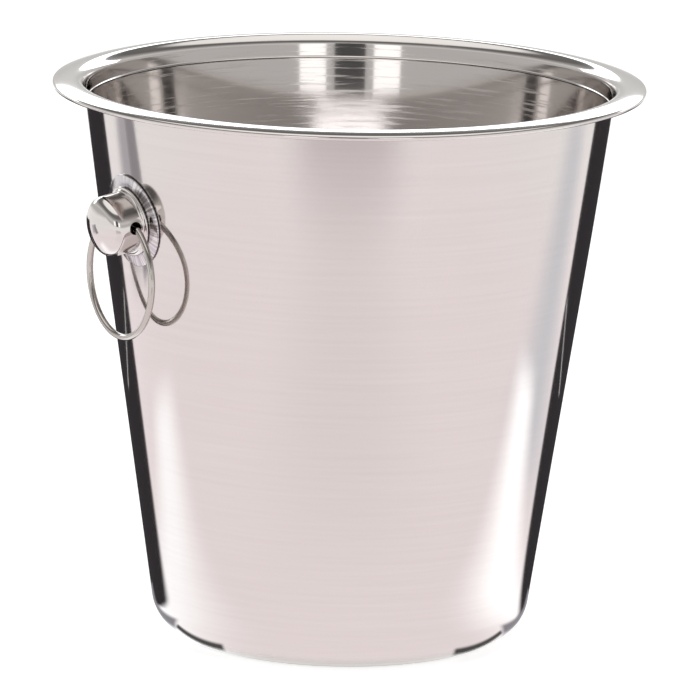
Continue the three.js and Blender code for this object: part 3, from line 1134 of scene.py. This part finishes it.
@dataclass
class Studio:
    """A pale floor, soft light, reflector cards and the camera; in metres unless named otherwise.

    The sky lists how bright the room is by the height of a direction's tip: 0 at the horizon and 1
    overhead.
    """

    azimuth_deg: float = -32.27
    ground_distance: float = 2.5519
    camera_height: float = 0.660
    pitch_deg: float = 12.227
    yaw_deg: float = 0.046
    roll_deg: float = 1.106
    lens_mm: float = 360.1
    floor_half: float = 6.0
    floor_glow: float = 0.77
    sky_strength: float = 1.15
    floor_grey: float = 0.5
    sky_blue: float = 0.985
    front_light_deg: float = 17.2
    sky: tuple[Point, ...] = (
        (0.0, 0.88), (0.045, 0.6), (0.12, 0.58), (0.25, 0.75), (0.4, 0.42),
        (0.55, 0.16), (0.7, 0.2), (0.78, 1.1), (1.0, 1.2))

    def toward(self, angle_deg: float, distance: float, height: float = 0.0) -> Vector:
        """A point round the bucket, by its angle from the camera's direction, positive to the right."""
        turn = math.radians(self.azimuth_deg + angle_deg)
        return Vector((math.sin(turn) * distance, -math.cos(turn) * distance, height))

    def camera(self) -> bpy.types.Object:
        """Makes the camera and sets it as the scene's.

        Returns:
            The camera.
        """
        data = bpy.data.cameras.new("camera")
        data.lens, data.sensor_width = self.lens_mm, 36.0
        data.clip_start, data.clip_end = 0.05, 60.0
        camera = bpy.data.objects.new("camera", data)
        bpy.context.scene.collection.objects.link(camera)
        heading = Matrix.Rotation(math.radians(self.azimuth_deg) - math.radians(self.yaw_deg), 3, "Z")
        pitch, roll = math.radians(self.pitch_deg), math.radians(self.roll_deg)
        forward = heading @ Vector((0, math.cos(pitch), -math.sin(pitch)))
        level = heading @ Vector((1, 0, 0))
        up = level.cross(forward)
        right = level * math.cos(roll) + up * math.sin(roll)
        up = right.cross(forward)
        turn = Matrix((right, up, -forward)).transposed()
        stand = Matrix.Translation(self.toward(0, self.ground_distance, self.camera_height))
        camera.matrix_world = stand @ turn.to_4x4()
        bpy.context.scene.camera = camera
        return camera

    def floor(self) -> None:
        """Lays a plain pale floor."""
        h = self.floor_half
        corners = [Vector(p) for p in ((-h, -h, 0), (h, -h, 0), (h, h, 0), (-h, h, 0))]
        floor = mesh_object("floor", corners, [(0, 1, 2, 3)])
        material, tree, output = new_material("pale_floor")
        paint = add_node(
            tree, "ShaderNodeBsdfPrincipled",
            {"Base Color": (*(self.floor_grey,) * 3, 1), "Roughness": 0.9, "Specular IOR Level": 0.0,
             "Emission Color": (1.0, 1.0, 1.0, 1), "Emission Strength": self.floor_glow})
        tree.links.new(paint.outputs[0], output.inputs["Surface"])
        floor.data.materials.append(material)

    def daylight(self) -> None:
        """Fills the room with soft light: paler above, greyer between ceiling and horizon."""
        world = bpy.data.worlds.new("soft_room")
        world.use_nodes = True
        tree = world.node_tree
        tree.nodes.clear()
        out = tree.nodes.new("ShaderNodeOutputWorld")
        way = add_node(tree, "ShaderNodeTexCoord").outputs["Generated"]
        height = add_node(tree, "ShaderNodeSeparateXYZ", links={0: way}).outputs["Z"]
        ramp = add_node(tree, "ShaderNodeValToRGB", links={0: height})
        stops = ramp.color_ramp.elements
        while len(stops) < len(self.sky):
            stops.new(0.5)
        for stop, (place, level) in zip(stops, self.sky):
            stop.position, stop.color = place, (level, level, level * self.sky_blue, 1.0)
        sky = add_node(
            tree, "ShaderNodeBackground", {"Strength": self.sky_strength}, {"Color": ramp.outputs["Color"]})
        tree.links.new(sky.outputs[0], out.inputs["Surface"])
        bpy.context.scene.world = world

    def ground(self, right: float, away: float, height: float = 0.0) -> Vector:
        """A point by how far it lies to the right of the bucket and behind it, as the camera looks."""
        return self.toward(90.0, right) + self.toward(180.0, away) + Vector((0, 0, height))

    def lay(self, strip: Strip) -> None:
        """Lays a strip on the floor.

        Args:
            strip: The strip.
        """
        h, w = strip.half
        corners = [Vector((x, y, 0)) for x, y in ((-h, -w), (h, -w), (h, w), (-h, w))]
        piece = mesh_object(strip.name, corners, [(0, 1, 2, 3)])
        material, tree, output = new_material(strip.name)
        place = add_node(tree, "ShaderNodeTexCoord").outputs["Object"]
        split = add_node(tree, "ShaderNodeSeparateXYZ", links={0: place})
        covers = []
        for axis, size in (("X", h), ("Y", w)):
            reach = add_node(tree, "ShaderNodeMath", links={0: split.outputs[axis]}, operation="ABSOLUTE")
            covers.append(add_node(
                tree, "ShaderNodeMapRange", {"From Min": size, "From Max": size - strip.soft},
                {"Value": reach.outputs[0]}, interpolation_type="SMOOTHSTEP").outputs["Result"])
        cover = add_node(tree, "ShaderNodeMath", links={0: covers[0], 1: covers[1]}, operation="MULTIPLY")
        for edge, full in ((strip.hole, strip.hole * 1.08), (strip.disc, strip.disc * 0.93)):
            if not edge:
                continue
            reach = add_node(tree, "ShaderNodeVectorMath", links={0: place}, operation="LENGTH")
            ring = add_node(
                tree, "ShaderNodeMapRange", {"From Min": edge, "From Max": full},
                {"Value": reach.outputs["Value"]}, interpolation_type="SMOOTHSTEP")
            cover = add_node(
                tree, "ShaderNodeMath", links={0: cover.outputs[0], 1: ring.outputs["Result"]},
                operation="MULTIPLY")
        glow = add_node(tree, "ShaderNodeEmission", {"Color": linear(strip.colour), "Strength": strip.level})
        clear = add_node(tree, "ShaderNodeBsdfTransparent")
        mix = add_node(
            tree, "ShaderNodeMixShader", links={0: cover.outputs[0], 1: clear.outputs[0], 2: glow.outputs[0]})
        tree.links.new(mix.outputs[0], output.inputs["Surface"])
        piece.data.materials.append(material)
        along = self.toward(strip.heading_deg, 1.0)
        turn = Matrix.Rotation(math.atan2(along.y, along.x), 4, "Z")
        piece.matrix_world = Matrix.Translation(self.ground(*strip.middle, strip.lift)) @ turn
        self.reflect_only(piece)

    @staticmethod
    def reflect_only(piece: bpy.types.Object) -> None:
        """Hides a card from everything but reflections."""
        piece.visible_camera = piece.visible_diffuse = piece.visible_shadow = False
        piece.visible_transmission = piece.visible_volume_scatter = False

    def card(self, name: str, centre: Vector, width: float, height: float, strength: float,
             colour: str = "ffffff") -> bpy.types.Object:
        """Hangs a card that only reflections see, facing the bucket.

        Args:
            name: The card's name.
            centre: Its middle.
            width: Its width.
            height: Its height.
            strength: How bright it is; 0 is a black flag.
            colour: Its tint.

        Returns:
            The card.
        """
        facing = Vector((-centre.x, -centre.y, 0)).normalized()
        side = Vector((-facing.y, facing.x, 0))
        up = Vector((0, 0, 1))
        corners = [
            centre + side * sx * width / 2 + up * sz * height / 2
            for sx, sz in ((-1, -1), (1, -1), (1, 1), (-1, 1))]
        card = mesh_object(name, corners, [(0, 1, 2, 3)])
        material, tree, output = new_material(name)
        glow = add_node(tree, "ShaderNodeEmission", {"Color": linear(colour), "Strength": strength})
        tree.links.new(glow.outputs[0], output.inputs["Surface"])
        card.data.materials.append(material)
        self.reflect_only(card)
        return card

    def build(self) -> None:
        """Sets up the whole studio."""
        view = bpy.context.scene.view_settings
        view.view_transform = "Standard"
        self.camera()
        self.floor()
        self.daylight()
        for strip in FRONT_STRIPS:
            self.lay(strip)
        for table in TABLE_SIDES:
            for strip in table.strips():
                self.lay(strip)
            light = self.toward(table.side * self.front_light_deg, 1.25, 0.37)
            self.card(f"front_light_{table.name}", light, 0.27, 0.34, 1.75)
        for strip in OUTER_STRIPS:
            self.lay(strip)
        # A dark card in front of the bucket that only reflections see: a painted dark patch in the
        # reflections.
        self.card("front_block", self.toward(0, 1.2, 0.40), 0.30, 0.42, 0.10)
        self.card("back_glow", self.ground(0, 0.95, 0.565), 2.5, 0.28, 3.2, "f6fbff")


def main() -> None:
    """Builds the bucket, its handles and the studio, in that order."""
    logging.basicConfig(level=logging.INFO, format="%(name)s %(message)s")
    wall = Wall()
    Bucket(wall).build()
    for side in ("left", "right"):
        Handle(wall, side).build()
    Studio().build()
    bpy.context.view_layer.update()


if __name__ == "__main__":
    main()
